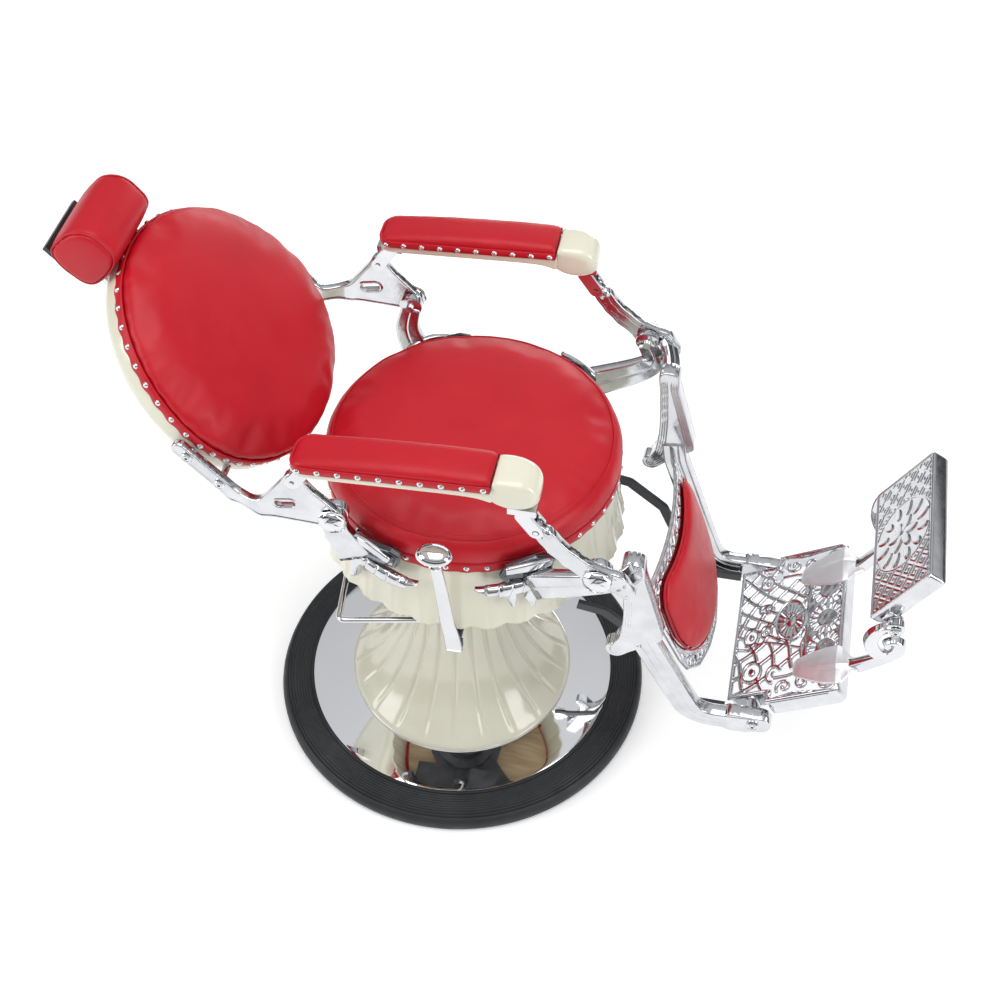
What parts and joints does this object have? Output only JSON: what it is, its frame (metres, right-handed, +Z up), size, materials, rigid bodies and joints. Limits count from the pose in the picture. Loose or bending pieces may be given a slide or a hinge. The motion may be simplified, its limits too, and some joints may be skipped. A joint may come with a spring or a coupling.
{
  "type": "hydraulic barber chair",
  "caption": "Vintage style hydraulic barber chair with round cushions, linked armrests, reclining back and a fretwork foot rest.",
  "frame": {"origin": "centre of the round base, on the floor", "axes": "+X towards the foot rest, +Y to the sitter's left, +Z up"},
  "size_m": [1.4144, 0.706, 1.08],
  "materials": {
    "black_steel": "satin black powder coat",
    "black_rubber": "matte moulded rubber",
    "chrome": "mirror chrome plate",
    "ivory_enamel": "gloss ivory enamel",
    "red_vinyl": "smooth satin upholstery vinyl",
    "plywood": "raw plywood",
    "cast_iron": "black painted casting",
    "machined_steel": "turned steel"
  },
  "bodies": {
    "base": {"base_plate": "black_steel", "base_cover": "chrome", "base_ring": "black_rubber", "base_bolts": "machined_steel", "hydraulic_cylinder": "machined_steel", "cylinder_gland": "machined_steel", "lower_bell": "ivory_enamel"},
    "piston": {"piston_rod": "chrome", "thrust_ring": "machined_steel"},
    "seat": {"swivel_hub": "cast_iron", "pump_head": "cast_iron", "seat_frame": "cast_iron", "upper_skirt": "ivory_enamel", "seat_pan": "plywood", "seat_cushion": "red_vinyl", "seat_nails": "chrome", "rear_bracket_right": "chrome", "rear_bracket_left": "chrome", "front_bracket_right": "chrome", "front_bracket_left": "chrome", "pivot_bolts": "chrome"},
    "pump_crank": {"pump_crank": "black_steel"},
    "lever": {"lever_bar": "chrome", "lever_knob": "chrome"},
    "recline_handle": {"recline_handle": "chrome"},
    "back": {"back_shell": "ivory_enamel", "back_cushion": "red_vinyl", "back_nails": "chrome", "back_bracket_right": "chrome", "back_bracket_left": "chrome", "strap_screws": "chrome", "rear_arm_pins": "chrome", "headrest_guide": "chrome"},
    "headrest_post": {"headrest_post": "chrome"},
    "headrest": {"headrest_board": "black_steel", "headrest_cushion": "red_vinyl"},
    "armrest_right": {"arm_base_right": "ivory_enamel", "arm_pad_right": "red_vinyl", "arm_nails_right": "chrome", "arm_forks_right": "chrome"},
    "armrest_left": {"arm_base_left": "ivory_enamel", "arm_pad_left": "red_vinyl", "arm_nails_left": "chrome", "arm_forks_left": "chrome"},
    "leg_frame": {"leg_rocker_right": "chrome", "leg_rocker_left": "chrome", "leg_rail_right": "chrome", "leg_rail_left": "chrome", "leg_stay_right": "black_steel", "leg_stay_left": "black_steel", "front_arm_pins": "chrome", "calf_panel": "chrome", "calf_pad": "red_vinyl"},
    "foot_plate": {"foot_plate": "chrome", "foot_hinge_screws": "chrome", "foot_arm_right": "chrome", "foot_arm_left": "chrome"},
    "foot_board": {"board_tray": "chrome", "board_pad": "red_vinyl", "board_hinge_bolts": "chrome"}
  },
  "joints": [
    {"name": "lift", "type": "slide", "parent": "base", "child": "piston", "axis": [0, 0, 1], "range_m": [-0.1, 0.04]},
    {"name": "swivel", "type": "hinge", "parent": "piston", "child": "seat", "pos_m": [0, 0, 0.53], "axis": [0, 0, 1], "continuous": true},
    {"name": "back_recline", "type": "hinge", "parent": "seat", "child": "back", "pos_m": [-0.124, 0, 0.73], "axis": [0, 1, 0], "range_deg": [0, 26]},
    {"name": "leg_swing", "type": "hinge", "parent": "seat", "child": "leg_frame", "pos_m": [0.285, 0, 0.704], "axis": [0, 1, 0], "range_deg": [0, 21.3]},
    {"name": "armrest_right_pivot", "type": "hinge", "parent": "back", "child": "armrest_right", "pos_m": [-0.179, -0.253, 0.806], "axis": [0, 1, 0], "range_deg": [-27.8, 0]},
    {"name": "armrest_left_pivot", "type": "hinge", "parent": "back", "child": "armrest_left", "pos_m": [-0.179, 0.253, 0.806], "axis": [0, 1, 0], "range_deg": [-27.8, 0]},
    {"name": "headrest_slide", "type": "slide", "parent": "back", "child": "headrest_post", "axis": [-0.6561, 0, 0.7547], "range_m": [0, 0.09]},
    {"name": "headrest_tilt", "type": "hinge", "parent": "headrest_post", "child": "headrest", "pos_m": [-0.58191, 0, 0.97201], "axis": [0, 1, 0], "range_deg": [-20, 0]},
    {"name": "foot_plate_tilt", "type": "hinge", "parent": "leg_frame", "child": "foot_plate", "pos_m": [0.556, 0, 0.256], "axis": [0, 1, 0], "range_deg": [-12, 12]},
    {"name": "foot_board_flip", "type": "hinge", "parent": "foot_plate", "child": "foot_board", "pos_m": [0.746, 0, 0.539], "axis": [0, 1, 0], "range_deg": [-120, 0]},
    {"name": "pump_stroke", "type": "hinge", "parent": "seat", "child": "pump_crank", "pos_m": [0.06, -0.2, 0.482], "axis": [0, 1, 0], "range_deg": [-18, 18], "stiffness_Nm_per_rad": 12},
    {"name": "lever_release", "type": "hinge", "parent": "pump_crank", "child": "lever", "pos_m": [0.06, -0.27, 0.482], "axis": [1, 0, 0], "range_deg": [0, 10], "stiffness_Nm_per_rad": 25, "springref_deg": -5.73},
    {"name": "recline_release", "type": "hinge", "parent": "seat", "child": "recline_handle", "pos_m": [-0.06, -0.152, 0.47], "axis": [-1, 0, 0], "range_deg": [0, 8], "stiffness_Nm_per_rad": 10, "springref_deg": -5.73}
  ],
  "couplings": [
    {"joint": "leg_swing", "follows": "back_recline", "ratio": 0.81},
    {"joint": "armrest_right_pivot", "follows": "back_recline", "ratio": -1.062},
    {"joint": "armrest_left_pivot", "follows": "back_recline", "ratio": -1.062}
  ]
}
